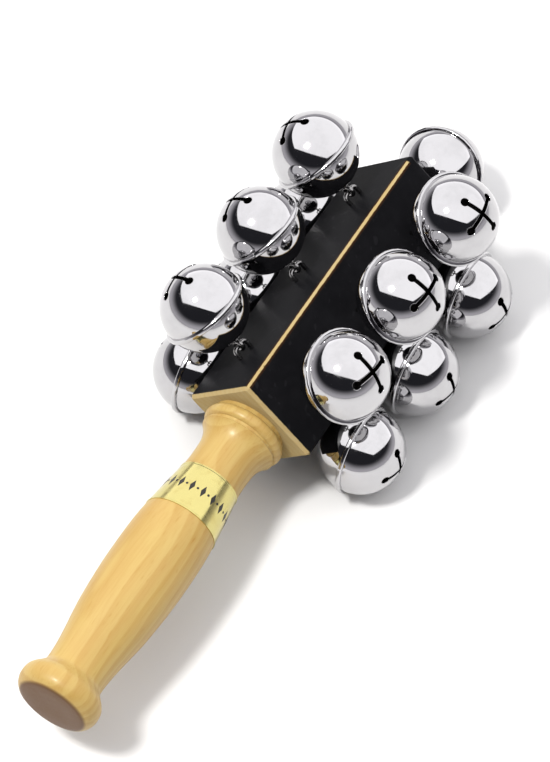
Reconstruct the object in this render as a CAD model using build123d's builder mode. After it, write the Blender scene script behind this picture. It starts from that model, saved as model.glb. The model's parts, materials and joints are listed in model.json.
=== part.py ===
"""Hand-held sleigh bells: thirteen crimped jingle bells on a square block with a turned handle.

Frame: +X runs from the handle to the end bell, +Z is up, and Z = 0 is the table. The six lower
bells stand on it and are folded outward by the weight. The origin is below the middle of the
whole length.
"""

import os
from math import asin, cos, degrees, radians, sin, sqrt

from build123d import *

os.makedirs("parts", exist_ok=True)

# ---- Driving dimensions, in millimetres ----------------------------------------------------

# Jingle bells
BELL_DIAMETER = 27.0
BELL_WALL = 0.5
FLANGE_WIDTH = 0.4  # how far the inner cup's flange stands out
CRIMP_CLEARANCE = 0.03  # between the flange's edge and the lip folded round it
SLOT_WIDTH = 1.3
SLOT_HOLE_DIAMETER = 2.6  # the round hole at each end of a slot
SLOT_HOLE_ANGLE = 28.0  # degrees from the bell's crown to a slot hole
SLOT_TURN_STEP = 9.0  # degrees by which the slots turn from one bell of a row to the next
PELLET_DIAMETER = 6.0
PELLET_CLEARANCE = 0.2

# Wire staples and the loops that hang on them
STAPLE_WIRE = 1.4
STAPLE_SPREAD = 5.4  # between the centres of the two legs
STAPLE_BEND = 1.3  # bend radius at the wire's centre
STAPLE_DEPTH = 8.0  # how deep the legs go into the wood
LOOP_WIRE = 1.4
LOOP_PLAY = 0.1  # radial clearance of the loop round the staple
LOOP_LIFT = 1.0  # between the loop and the wood
SHOULDER_DIAMETER = 3.2
SHOULDER_HEIGHT = 0.6
RIVET_DIAMETER = 1.4
RIVET_CLEARANCE = 0.02
RIVET_HEAD_DIAMETER = 4.0
RIVET_HEAD_HEIGHT = 0.5

# Block
BLOCK_SIDE = 30.0
EDGE_BREAK = 0.95
BELLS_PER_ROW = 3
BELL_GAP = 3.6  # between the seam rims of two neighbours in a row
END_MARGIN = 16.5  # from an end of the block to the middle of the nearest staples

# How far each bell leans on its staple at rest, in degrees from straight out of the wood
UPPER_BELL_LEAN = 0.0
LOWER_BELL_LEAN = 45.0
END_BELL_LEAN = 30.0

# Handle
HANDLE_LENGTH = 110.0
TENON_DIAMETER = 12.0
TENON_END_GAP = 2.0  # wood left between the tenon and the first staple legs
TENON_FIT = 0.0  # radial gap round the tenon, none for the tight glued joint
BEAD_DIAMETER = 26.4
BEAD_START = 1.2
BEAD_WIDTH = 4.4
BEAD_HEIGHT = 1.5
GROOVE_WIDTH = 0.8
COVE_LIP_DIAMETER = 24.6
NECK_DIAMETER = 18.6
NECK_DISTANCE = 17.0  # from the block
GRIP_DIAMETER = 25.2
GRIP_SWELL_SHARE = 0.32  # of the run from the band to the waist, where the grip is thickest
TAPER_DIAMETER = 23.7
TAPER_SHARE = 0.6  # of the same run, where the grip is down to the taper diameter
WAIST_DIAMETER = 18.8
KNOB_DIAMETER = 26.4
KNOB_WIDTH = 8.4
KNOB_ROUND = 3.0
KNOB_SHOULDER_DIAMETER = 24.3
FLARE_SLOPE = 1.6  # of the cove's lip and of the knob's shoulder
WAIST_TO_KNOB = 3.6

# Gold band
BAND_START = 23.0  # from the block
BAND_WIDTH = 16.4
BAND_THICKNESS = 0.25
BAND_SMALL_DIAMETER = 19.2
BAND_LARGE_DIAMETER = 23.6

# ---- Sizes worked out from them ------------------------------------------------------------

BELL_R = BELL_DIAMETER / 2
BELL_INSIDE_R = BELL_R - BELL_WALL
FLANGE_R = BELL_R + FLANGE_WIDTH
LIP_R = FLANGE_R + CRIMP_CLEARANCE
RIM_R = LIP_R + BELL_WALL
PELLET_R = PELLET_DIAMETER / 2
PELLET_DROP = BELL_INSIDE_R - PELLET_CLEARANCE - PELLET_R
HEAD_SEAT = sqrt(BELL_INSIDE_R**2 - (RIVET_HEAD_DIAMETER / 2) ** 2)

STAPLE_R = STAPLE_WIRE / 2
LOOP_R = STAPLE_R + LOOP_PLAY + LOOP_WIRE / 2
BAR_HEIGHT = LOOP_LIFT + LOOP_R + LOOP_WIRE / 2
BELL_ARM = LOOP_R + LOOP_WIRE / 2 + SHOULDER_HEIGHT + BELL_R

BELL_PITCH = 2 * RIM_R + BELL_GAP
BLOCK_LENGTH = (BELLS_PER_ROW - 1) * BELL_PITCH + 2 * END_MARGIN
TENON_LENGTH = END_MARGIN - STAPLE_SPREAD / 2 - STAPLE_R - TENON_END_GAP

END_REACH = BAR_HEIGHT + BELL_ARM * cos(radians(END_BELL_LEAN)) + BELL_R
OVERALL_LENGTH = HANDLE_LENGTH + BLOCK_LENGTH + END_REACH
BUTT_X = -OVERALL_LENGTH / 2
BLOCK_START_X = BUTT_X + HANDLE_LENGTH
BLOCK_END_X = BLOCK_START_X + BLOCK_LENGTH

# The lower bells stand on their seam rims. ARM_RISE is how far their arms point above the level.
FACE_SLOPE = 45.0
ARM_RISE = radians(LOWER_BELL_LEAN - FACE_SLOPE)
RIM_REACH = LIP_R * cos(ARM_RISE) + BELL_WALL * (1 + max(0, sin(ARM_RISE)))
LOWER_CENTRE_DEPTH = (BLOCK_SIDE / 2 + BAR_HEIGHT) * sin(radians(FACE_SLOPE)) - BELL_ARM * sin(ARM_RISE)
AXIS_Z = LOWER_CENTRE_DEPTH + max(BELL_R, RIM_REACH)

# ---- Seats: the staple bar's middle, +Z of the plane points up the bell's arm, +Y along the bar

FACES = {"top_left": (1, 1), "top_right": (-1, 1), "bottom_right": (-1, -1), "bottom_left": (1, -1)}


def leaning_seat(foot, outward, side, lean):
    """Seat over foot, turned about the staple's bar by lean degrees from outward toward side."""
    turn = radians(lean)
    arm = outward * cos(turn) + side * sin(turn)
    across = side * cos(turn) - outward * sin(turn)
    return Plane(foot + outward * BAR_HEIGHT, x_dir=across, z_dir=arm)


def meridian(plane):
    """Plane through the local Z axis of plane, for profiles with x = radius and y = height."""
    return Plane(plane.origin, x_dir=plane.x_dir, z_dir=-plane.y_dir)


def cross_section(x):
    """Plane across the block and the handle, with its normal along +X."""
    return Plane((x, 0, AXIS_Z), x_dir=(0, 1, 0), z_dir=(1, 0, 0))


BELL_SEATS = {}
STAPLE_SEATS = []
SLOT_TURNS = {}
for face_name, (y_sign, z_sign) in FACES.items():
    outward = Vector(0, y_sign, z_sign).normalized()
    sideways = Vector(0, y_sign, -z_sign).normalized()
    lean = UPPER_BELL_LEAN if z_sign > 0 else LOWER_BELL_LEAN
    for station in range(BELLS_PER_ROW):
        bell_name = f"{face_name}_{station + 1}"
        middle = Vector(BLOCK_START_X + END_MARGIN + station * BELL_PITCH, 0, AXIS_Z)
        foot = middle + outward * (BLOCK_SIDE / 2)
        BELL_SEATS[bell_name] = leaning_seat(foot, outward, sideways, lean)
        STAPLE_SEATS.append(leaning_seat(foot, outward, sideways, 0))
        SLOT_TURNS[bell_name] = (station - 1) * SLOT_TURN_STEP
END_FOOT = Vector(BLOCK_END_X, 0, AXIS_Z)
BELL_SEATS["end"] = leaning_seat(END_FOOT, Vector(1, 0, 0), Vector(0, 0, -1), END_BELL_LEAN)
STAPLE_SEATS.append(leaning_seat(END_FOOT, Vector(1, 0, 0), Vector(0, 0, -1), 0))
SLOT_TURNS["end"] = SLOT_TURN_STEP

# ---- Block: a square bar on edge, bored for the tenon and drilled for the staples ----------

with BuildPart() as block:
    with BuildSketch(cross_section(BLOCK_START_X)):
        Rectangle(BLOCK_SIDE, BLOCK_SIDE, rotation=FACE_SLOPE)
    extrude(amount=BLOCK_LENGTH)
    chamfer(block.edges(), EDGE_BREAK)
    with BuildSketch(cross_section(BLOCK_START_X)):
        Circle(TENON_DIAMETER / 2 + TENON_FIT)
    extrude(amount=TENON_LENGTH, mode=Mode.SUBTRACT)
    for seat in STAPLE_SEATS:
        with BuildSketch(seat.offset(-BAR_HEIGHT)):
            with Locations((0, STAPLE_SPREAD / 2), (0, -STAPLE_SPREAD / 2)):
                Circle(STAPLE_R)
        extrude(amount=-STAPLE_DEPTH, mode=Mode.SUBTRACT)
block.part.label = "block"
export_step(block.part, "parts/block.step")

# ---- Handle: turned in one piece with its tenon; x = distance from the block, y = radius ----

HANDLE_PLANE = Plane((BLOCK_START_X, 0, AXIS_Z), x_dir=(-1, 0, 0), z_dir=(0, 1, 0))
HANDLE_AXIS = Axis((BLOCK_START_X, 0, AXIS_Z), (1, 0, 0))
BAND_END = BAND_START + BAND_WIDTH
BAND_SLOPE = Vector(BAND_WIDTH, (BAND_LARGE_DIAMETER - BAND_SMALL_DIAMETER) / 2)
BEAD_ROOT = BEAD_DIAMETER / 2 - BEAD_HEIGHT
BEAD_END = BEAD_START + BEAD_WIDTH
COVE_START = BEAD_END + GROOVE_WIDTH
KNOB_START = HANDLE_LENGTH - KNOB_WIDTH
WAIST = KNOB_START - WAIST_TO_KNOB
GRIP_RUN = WAIST - BAND_END

with BuildPart() as handle:
    with BuildSketch(HANDLE_PLANE):
        with BuildLine():
            Polyline(
                (HANDLE_LENGTH, 0),
                (-TENON_LENGTH, 0),
                (-TENON_LENGTH, TENON_DIAMETER / 2),
                (0, TENON_DIAMETER / 2),
                (0, BEAD_ROOT),
                (BEAD_START, BEAD_ROOT),
            )
            ThreePointArc(
                (BEAD_START, BEAD_ROOT),
                (BEAD_START + BEAD_WIDTH / 2, BEAD_DIAMETER / 2),
                (BEAD_END, BEAD_ROOT),
            )
            Polyline((BEAD_END, BEAD_ROOT), (COVE_START, BEAD_ROOT), (COVE_START, COVE_LIP_DIAMETER / 2))
            Spline(
                (COVE_START, COVE_LIP_DIAMETER / 2),
                (NECK_DISTANCE, NECK_DIAMETER / 2),
                (BAND_START, BAND_SMALL_DIAMETER / 2),
                tangents=[(1, -FLARE_SLOPE), BAND_SLOPE],
                tangent_scalars=[1.0, 1.0],
            )
            Line((BAND_START, BAND_SMALL_DIAMETER / 2), (BAND_END, BAND_LARGE_DIAMETER / 2))
            Spline(
                (BAND_END, BAND_LARGE_DIAMETER / 2),
                (BAND_END + GRIP_SWELL_SHARE * GRIP_RUN, GRIP_DIAMETER / 2),
                (BAND_END + TAPER_SHARE * GRIP_RUN, TAPER_DIAMETER / 2),
                (WAIST, WAIST_DIAMETER / 2),
                (KNOB_START, KNOB_SHOULDER_DIAMETER / 2),
                tangents=[BAND_SLOPE, (1, FLARE_SLOPE)],
            )
            ThreePointArc(
                (KNOB_START, KNOB_SHOULDER_DIAMETER / 2),
                (HANDLE_LENGTH - KNOB_WIDTH / 2, KNOB_DIAMETER / 2),
                (HANDLE_LENGTH, KNOB_DIAMETER / 2 - KNOB_ROUND),
            )
            Line((HANDLE_LENGTH, KNOB_DIAMETER / 2 - KNOB_ROUND), (HANDLE_LENGTH, 0))
        make_face()
    revolve(axis=HANDLE_AXIS)
handle.part.label = "handle"
export_step(handle.part, "parts/handle.step")

# ---- Gold band: a thin sleeve on the cone between the neck and the grip --------------------

with BuildPart() as gold_band:
    with BuildSketch(HANDLE_PLANE):
        with BuildLine():
            Polyline(
                (BAND_START, BAND_SMALL_DIAMETER / 2),
                (BAND_END, BAND_LARGE_DIAMETER / 2),
                (BAND_END, BAND_LARGE_DIAMETER / 2 + BAND_THICKNESS),
                (BAND_START, BAND_SMALL_DIAMETER / 2 + BAND_THICKNESS),
                close=True,
            )
        make_face()
    revolve(axis=HANDLE_AXIS)
gold_band.part.label = "gold_band"
export_step(gold_band.part, "parts/gold_band.step")

# ---- Staples: one bent wire under each bell, all alike -------------------------------------

with BuildPart() as bell_staples:
    for seat in STAPLE_SEATS:
        leg_foot = -BAR_HEIGHT - STAPLE_DEPTH
        with BuildLine(Plane(seat.origin, x_dir=seat.y_dir, z_dir=seat.x_dir)) as wire:
            FilletPolyline(
                (-STAPLE_SPREAD / 2, leg_foot),
                (-STAPLE_SPREAD / 2, 0),
                (STAPLE_SPREAD / 2, 0),
                (STAPLE_SPREAD / 2, leg_foot),
                radius=STAPLE_BEND,
            )
        with BuildSketch(Plane(wire.line @ 0, z_dir=wire.line % 0)):
            Circle(STAPLE_R)
        sweep(path=wire.line)
bell_staples.part.label = "bell_staples"
export_step(bell_staples.part, "parts/bell_staples.step")

# ---- Bells: two crimped half shells, a riveted wire loop and a loose pellet in each --------


def save(piece, name):
    """Label a finished piece with its node name and write it."""
    piece.label = name
    export_step(piece, f"parts/{name}.step")


def degrees_above_seam(height):
    """Angle at the bell's centre of a point of its outside that is height above the seam."""
    return degrees(asin(height / BELL_R))


def make_outer_cup(centre):
    """Outer half shell: its lip is folded round the inner cup's flange, and slots cross it."""
    seam_angle = degrees_above_seam(BELL_WALL)
    with BuildPart() as outer_cup:
        with BuildSketch(meridian(centre)):
            with BuildLine():
                Line((0, BELL_INSIDE_R), (0, BELL_R))
                CenterArc((0, 0), BELL_R, seam_angle, 90 - seam_angle)
                Line((BELL_R * cos(radians(seam_angle)), BELL_WALL), (LIP_R, BELL_WALL))
                CenterArc((LIP_R, 0), BELL_WALL, 0, 90)
                Line((RIM_R, 0), (RIM_R, -BELL_WALL))
                CenterArc((LIP_R, -BELL_WALL), BELL_WALL, -90, 90)
                Polyline(
                    (LIP_R, -2 * BELL_WALL),
                    (BELL_R + CRIMP_CLEARANCE, -2 * BELL_WALL),
                    (BELL_R + CRIMP_CLEARANCE, -BELL_WALL),
                    (LIP_R, -BELL_WALL),
                    (LIP_R, 0),
                    (BELL_INSIDE_R, 0),
                )
                CenterArc((0, 0), BELL_INSIDE_R, 0, 90)
            make_face()
        revolve(axis=Axis(centre.origin, centre.z_dir))
        hole_angle = radians(SLOT_HOLE_ANGLE)
        slot_length = 2 * BELL_R * sin(hole_angle)
        with BuildSketch(centre):
            Rectangle(slot_length, SLOT_WIDTH)
            Rectangle(SLOT_WIDTH, slot_length)
        extrude(amount=BELL_R, mode=Mode.SUBTRACT)
        for side in (centre.x_dir, -centre.x_dir, centre.y_dir, -centre.y_dir):
            toward_hole = side * sin(hole_angle) + centre.z_dir * cos(hole_angle)
            with BuildSketch(Plane(centre.origin, z_dir=toward_hole)):
                Circle(SLOT_HOLE_DIAMETER / 2)
            extrude(amount=RIM_R, mode=Mode.SUBTRACT)
    return outer_cup.part


def make_inner_cup(centre):
    """Inner half shell, with the flange that the outer cup is crimped to and the rivet's hole."""
    seam_angle = degrees_above_seam(BELL_WALL)
    with BuildPart() as inner_cup:
        with BuildSketch(meridian(centre)):
            with BuildLine():
                Line((0, -BELL_INSIDE_R), (0, -BELL_R))
                CenterArc((0, 0), BELL_R, -90, 90 - seam_angle)
                Polyline(
                    (BELL_R * cos(radians(seam_angle)), -BELL_WALL),
                    (FLANGE_R, -BELL_WALL),
                    (FLANGE_R, 0),
                    (BELL_INSIDE_R, 0),
                )
                CenterArc((0, 0), BELL_INSIDE_R, -90, 90)
            make_face()
        revolve(axis=Axis(centre.origin, centre.z_dir))
        with BuildSketch(centre):
            Circle(RIVET_DIAMETER / 2 + RIVET_CLEARANCE)
        extrude(amount=-RIM_R, mode=Mode.SUBTRACT)
    return inner_cup.part


def make_loop(seat):
    """Closed wire ring round the staple's bar, with a shoulder and a rivet through the cup."""
    ring_top = LOOP_R + LOOP_WIRE / 2
    head = BELL_ARM - HEAD_SEAT
    with BuildPart() as loop:
        with BuildSketch(Plane(seat.origin, x_dir=seat.z_dir, z_dir=seat.x_dir)):
            with Locations((LOOP_R, 0)):
                Circle(LOOP_WIRE / 2)
        revolve(axis=Axis(seat.origin, seat.y_dir))
        with BuildSketch(meridian(seat)):
            with BuildLine():
                Polyline(
                    (0, LOOP_R),
                    (RIVET_DIAMETER / 2, LOOP_R),
                    (RIVET_DIAMETER / 2, ring_top),
                    (SHOULDER_DIAMETER / 2, ring_top),
                    (SHOULDER_DIAMETER / 2, ring_top + SHOULDER_HEIGHT),
                    (RIVET_DIAMETER / 2, ring_top + SHOULDER_HEIGHT),
                    (RIVET_DIAMETER / 2, head),
                    (RIVET_HEAD_DIAMETER / 2, head),
                    (RIVET_HEAD_DIAMETER / 2, head + RIVET_HEAD_HEIGHT),
                    (0, head + RIVET_HEAD_HEIGHT),
                    close=True,
                )
            make_face()
        revolve(axis=Axis(seat.origin, seat.z_dir))
    return loop.part


def make_pellet(centre):
    """Loose steel ball, lying at the lowest point inside the bell."""
    with BuildPart() as pellet:
        with Locations(centre.origin - Vector(0, 0, PELLET_DROP)):
            Sphere(PELLET_R)
    return pellet.part


for bell_name, seat in BELL_SEATS.items():
    bell_centre = seat.offset(BELL_ARM)
    turned_centre = Plane(bell_centre.location * Rotation(0, 0, SLOT_TURNS[bell_name]))
    save(make_outer_cup(turned_centre), f"{bell_name}_outer_cup")
    save(make_inner_cup(bell_centre), f"{bell_name}_inner_cup")
    save(make_loop(seat), f"{bell_name}_loop")
    save(make_pellet(bell_centre), f"{bell_name}_pellet")
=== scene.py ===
"""Hand-held sleigh bells, laid out as an add-on: block, handle, band, staples, bells and stage.

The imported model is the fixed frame. Lengths are metres, +X runs from the handle to the end bell,
+Z is up, and every piece keeps its place in its mesh.
"""

import json
import math

import bmesh
import bpy
import numpy as np
from bpy.props import FloatProperty, FloatVectorProperty, IntProperty, PointerProperty
from mathutils import Matrix, Vector
from mathutils.geometry import delaunay_2d_cdt


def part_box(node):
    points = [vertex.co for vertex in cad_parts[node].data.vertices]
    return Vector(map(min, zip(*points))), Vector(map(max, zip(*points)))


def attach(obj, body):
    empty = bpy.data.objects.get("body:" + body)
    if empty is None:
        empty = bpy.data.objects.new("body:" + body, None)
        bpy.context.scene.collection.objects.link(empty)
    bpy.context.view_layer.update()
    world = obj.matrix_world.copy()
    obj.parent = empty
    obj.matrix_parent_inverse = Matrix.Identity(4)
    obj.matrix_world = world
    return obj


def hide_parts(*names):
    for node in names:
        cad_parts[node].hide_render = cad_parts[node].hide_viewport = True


bl_info = {
    "name": "Sleigh Bells",
    "version": (1, 0, 0),
    "blender": (4, 5, 0),
    "location": "3D View > Sidebar > Sleigh Bells",
    "description": "Builds hand-held sleigh bells around a packed frame",
    "category": "Object",
}

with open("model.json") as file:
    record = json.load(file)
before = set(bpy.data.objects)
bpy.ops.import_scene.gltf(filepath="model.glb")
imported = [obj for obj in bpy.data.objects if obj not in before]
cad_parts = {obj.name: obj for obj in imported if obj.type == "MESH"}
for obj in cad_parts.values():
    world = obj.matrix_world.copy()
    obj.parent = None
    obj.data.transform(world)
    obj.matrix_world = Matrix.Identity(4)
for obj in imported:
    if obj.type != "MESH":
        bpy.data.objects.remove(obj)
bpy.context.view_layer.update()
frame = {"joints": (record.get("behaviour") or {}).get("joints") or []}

MM = 0.001
BLOCK_LOW, BLOCK_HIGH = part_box("block")
HANDLE_LOW, HANDLE_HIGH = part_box("handle")
BAND_LOW, BAND_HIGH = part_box("gold_band")
AXIS_Z = (BLOCK_LOW.z + BLOCK_HIGH.z) / 2
JOINTS = {joint["name"]: joint for joint in frame["joints"]}
BELL_NAMES = [name[: -len("_swing")] for name in JOINTS if name.endswith("_swing")]


# ---- Settings ------------------------------------------------------------------------------


def length_setting(name, description, default):
    """Property of a PropertyGroup for a length in metres."""
    return FloatProperty(name=name, description=description, default=default, unit="LENGTH")


def angle_setting(name, description, degrees):
    """Property for an angle, with its default in degrees."""
    default = math.radians(degrees)
    return FloatProperty(
        name=name, description=description, default=default, subtype="ANGLE", unit="ROTATION"
    )


def colour_setting(name, description, default):
    """Property for a linear red, green and blue."""
    return FloatVectorProperty(name=name, description=description, default=default, subtype="COLOR")


class SleighBlockSettings(bpy.types.PropertyGroup):
    """The square wooden block."""

    side: length_setting("Side", "Width of each face", 30 * MM)
    edge_break: length_setting("Edge break", "Width cut off each edge", 0.95 * MM)
    lacquer: colour_setting("Lacquer", "Colour of the lacquer", (0.006, 0.006, 0.007))


class SleighHandleSettings(bpy.types.PropertyGroup):
    """The turned handle, in radii from the block to the butt."""

    bead: length_setting("Bead", "Radius of the bead", 13.2 * MM)
    neck: length_setting("Neck", "Smallest radius of the cove", 9.3 * MM)
    grip: length_setting("Grip", "Largest radius of the grip", 12.6 * MM)
    waist: length_setting("Waist", "Radius before the knob", 9.4 * MM)
    knob: length_setting("Knob", "Radius of the knob", 13.2 * MM)
    wood: colour_setting("Wood", "Mean colour of the bare wood", (0.41, 0.282, 0.09))


class SleighBandSettings(bpy.types.PropertyGroup):
    """The gold band between the neck and the grip."""

    small: length_setting("Small end", "Radius under its small end", 9.6 * MM)
    large: length_setting("Large end", "Radius under its large end", 11.8 * MM)
    thickness: length_setting("Thickness", "Sheet thickness", 0.25 * MM)
    motifs: IntProperty(name="Motifs", description="Printed motifs round the band", default=18, min=3)
    gold: colour_setting("Gold", "Colour of the band", (0.58, 0.51, 0.20))


class SleighBellSettings(bpy.types.PropertyGroup):
    """One jingle bell, its loop, its pellet and its staple."""

    radius: length_setting("Radius", "Outside radius", 13.5 * MM)
    wall: length_setting("Wall", "Sheet thickness", 0.5 * MM)
    flange: length_setting("Flange", "Width of the crimped flange", 0.4 * MM)
    clearance: length_setting("Clearance", "Between the flange and the lip round it", 0.03 * MM)
    slot: length_setting("Slot", "Width of the slots", 1.3 * MM)
    slot_hole: length_setting("Slot hole", "Radius of a slot's end", 1.3 * MM)
    slot_angle: angle_setting("Slot angle", "From the crown to a slot's round end", 28)
    slot_turn: angle_setting("Slot turn", "Turn of the slots from one bell of a row to the next", 9)
    wire: length_setting("Wire", "Radius of loops and staples", 0.7 * MM)
    loop: length_setting("Loop", "Radius of a loop at its wire", 1.5 * MM)
    pellet: length_setting("Pellet", "Radius of the steel pellet", 3 * MM)
    staple_spread: length_setting("Staple spread", "Between a staple's legs", 5.4 * MM)
    staple_bend: length_setting("Staple bend", "Bend radius", 1.3 * MM)
    staple_leg: length_setting("Staple leg", "From the staple's bar to its foot", 11.2 * MM)


class SleighStageSettings(bpy.types.PropertyGroup):
    """The camera's place and what it takes in."""

    azimuth: angle_setting("Azimuth", "Camera azimuth", -56)
    elevation: angle_setting("Elevation", "Camera elevation", 57)
    roll: angle_setting("Roll", "Camera roll", -3.6)
    distance: length_setting("Distance", "Camera to the aim", 1.35)
    view_height: length_setting("View height", "Height of the view at the aim", 0.2302)


# ---- Small helpers -------------------------------------------------------------------------


def hermite(start, end, start_slope, end_slope, steps):
    """Points of a cubic from start to end, both (x, y), with the given slopes, start left out."""
    run = end[0] - start[0]
    points = []
    for step in range(1, steps + 1):
        t = step / steps
        h00 = 2 * t**3 - 3 * t**2 + 1
        h10 = t**3 - 2 * t**2 + t
        h01 = -2 * t**3 + 3 * t**2
        h11 = t**3 - t**2
        y = h00 * start[1] + h10 * run * start_slope + h01 * end[1] + h11 * run * end_slope
        points.append((start[0] + t * run, y))
    return points


def arc(centre, radius, start, end, steps):
    """Points on an arc, angles in degrees, both ends included."""
    angles = np.radians(np.linspace(start, end, steps + 1))
    return [(centre[0] + radius * math.cos(a), centre[1] + radius * math.sin(a)) for a in angles]


def smooth(mesh, angle):
    """Smooth shading that breaks at edges sharper than angle degrees."""
    mesh.polygons.foreach_set("use_smooth", [True] * len(mesh.polygons))
    mesh.set_sharp_from_angle(angle=math.radians(angle))


def new_piece(name, mesh):
    """Object at the origin that holds the mesh."""
    obj = bpy.data.objects.new(name, mesh)
    bpy.context.scene.collection.objects.link(obj)
    return obj


def mesh_from(name, verts, faces, materials, smooth_angle=35):
    """Mesh with smooth shading that breaks at edges sharper than smooth_angle degrees."""
    mesh = bpy.data.meshes.new(name)
    mesh.from_pydata([tuple(v) for v in verts], [], [tuple(f) for f in faces])
    for material in materials:
        mesh.materials.append(material)
    smooth(mesh, smooth_angle)
    mesh.update()
    return mesh


def lathe(profile, segments, closed):
    """Vertices and faces of a profile of (radius, height) turned about the local Z axis.

    The profile runs so that its left side is the outside. Points on the axis become one vertex.
    """
    verts, rings = [], []
    turns = np.linspace(0, 2 * math.pi, segments, endpoint=False)
    for radius, height in profile:
        if radius < 1e-7:
            rings.append([len(verts)] * segments)
            verts.append((0.0, 0.0, height))
        else:
            rings.append(list(range(len(verts), len(verts) + segments)))
            verts += [(radius * math.cos(a), radius * math.sin(a), height) for a in turns]
    faces = []
    count = len(profile)
    for i in range(count if closed else count - 1):
        low, high = rings[i], rings[(i + 1) % count]
        for k in range(segments):
            n = (k + 1) % segments
            corners = [low[k], low[n], high[n], high[k]]
            face = list(dict.fromkeys(corners))
            if len(face) > 2:
                faces.append(face)
    return verts, faces


def axis_matrix(x):
    """Local Z to -X of the frame, from a point of the axis: distances run from the block to the butt."""
    return Matrix.Translation((x, 0, AXIS_Z)) @ Matrix.Rotation(math.radians(-90), 4, "Y")


def bell_matrix(name, at_centre):
    """Seat of a bell: local Z points away from the wood and local Y lies along the staple's bar."""
    pivot = Vector(JOINTS[name + "_swing"]["pos_m"])
    centre = Vector(JOINTS[name + "_pellet_roll"]["pos_m"])
    return seat_matrix(name, (centre - pivot).normalized(), centre if at_centre else pivot)


def staple_matrix(name):
    """Seat of a staple: local Z points straight out of the wood and local Y lies along its bar."""
    pivot = Vector(JOINTS[name + "_swing"]["pos_m"])
    z_axis = Vector((0, pivot.y, pivot.z - AXIS_Z))
    z_axis = z_axis.normalized() if z_axis.length > 1 * MM else Vector((1, 0, 0))
    return seat_matrix(name, z_axis, pivot)


def seat_matrix(name, z_axis, place):
    """Seat at a place, with local Y along the bell's hinge, which is its staple's bar."""
    y_axis = Vector(JOINTS[name + "_swing"]["axis"]).normalized()
    turn = Matrix((y_axis.cross(z_axis), y_axis, z_axis)).transposed().to_4x4()
    return Matrix.Translation(place) @ turn


def station(name):
    """-1, 0 or 1 for the bells of a row from the handle on, and 1 for the end bell."""
    last = name.rsplit("_", 1)[-1]
    return int(last) - 2 if last.isdigit() else 1


def finish_piece(obj, body, slot, *nodes):
    """Puts the piece on its body and hides the CAD nodes it stands for; the finish slot is not used."""
    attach(obj, body)
    if nodes:
        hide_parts(*nodes)
    return obj


# ---- Node trees ----------------------------------------------------------------------------


class Nodes:
    """Adds nodes to a tree, with inputs given as values or as sockets to link from."""

    def __init__(self, tree):
        self.tree = tree

    def add(self, kind, inputs=None, **settings):
        """A new node with these inputs, by name or number, and these settings."""
        node = self.tree.nodes.new(kind)
        for name, value in settings.items():
            setattr(node, name, value)
        for key, value in (inputs or {}).items():
            if isinstance(value, bpy.types.NodeSocket):
                self.tree.links.new(value, node.inputs[key])
            else:
                node.inputs[key].default_value = value
        return node

    def first(self, kind, inputs=None, **settings):
        """The first output of a new node."""
        return self.add(kind, inputs, **settings).outputs[0]

    def link(self, source, target):
        self.tree.links.new(source, target)

    def math(self, operation, first, second=0.0, clamp=False):
        return self.first("ShaderNodeMath", {0: first, 1: second}, operation=operation, use_clamp=clamp)

    def plus(self, first, second, clamp=False):
        return self.math("ADD", first, second, clamp)

    def minus(self, first, second):
        return self.math("SUBTRACT", first, second)

    def times(self, first, second):
        return self.math("MULTIPLY", first, second)

    def combine(self, x, y, z):
        return self.first("ShaderNodeCombineXYZ", {"X": x, "Y": y, "Z": z})

    def vector(self, operation, first, second=(0, 0, 0)):
        """Vector operation; a length or a dot product comes out as a value."""
        node = self.add("ShaderNodeVectorMath", {0: first, 1: second}, operation=operation)
        return node.outputs["Value" if operation in ("LENGTH", "DOT_PRODUCT") else "Vector"]

    def mix(self, factor, first, second):
        """Colour mix; first shows where factor is 0."""
        return self.add("ShaderNodeMix", {0: factor, 6: first, 7: second}, data_type="RGBA").outputs[2]

    def fade(self, value, start, end):
        """0 at start and 1 at end, clamped, with soft shoulders."""
        inputs = {"Value": value, "From Min": start, "From Max": end}
        return self.first("ShaderNodeMapRange", inputs, interpolation_type="SMOOTHSTEP")

    def spread(self, value, low, high):
        """Turns a value from 0 to 1 into one from low to high."""
        return self.first("ShaderNodeMapRange", {"Value": value, "To Min": low, "To Max": high})

    def noise(self, coords, scale, detail=3.0, roughness=0.5):
        """Cloudy value from 0 to 1 with a mean of about a half."""
        inputs = {"Vector": coords, "Scale": scale, "Detail": detail, "Roughness": roughness}
        return self.first("ShaderNodeTexNoise", inputs)


def rgba(colour):
    """The colour with an alpha of 1."""
    return (colour[0], colour[1], colour[2], 1.0)


def tinted(colour, factors):
    """The colour with each channel times its factor."""
    return rgba([channel * factor for channel, factor in zip(colour, factors)])


def shader_group(name, inputs, outputs):
    """An empty shader group with its sockets; inputs and outputs are (name, kind, default)."""
    tree = bpy.data.node_groups.new(name, "ShaderNodeTree")
    for in_out, sockets in (("INPUT", inputs), ("OUTPUT", outputs)):
        for socket_name, kind, default in sockets:
            kind = "NodeSocket" + kind
            socket = tree.interface.new_socket(socket_name, in_out=in_out, socket_type=kind)
            if default is not None:
                socket.default_value = default
    nodes = Nodes(tree)
    return nodes, nodes.add("NodeGroupInput").outputs, nodes.add("NodeGroupOutput").inputs


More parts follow.
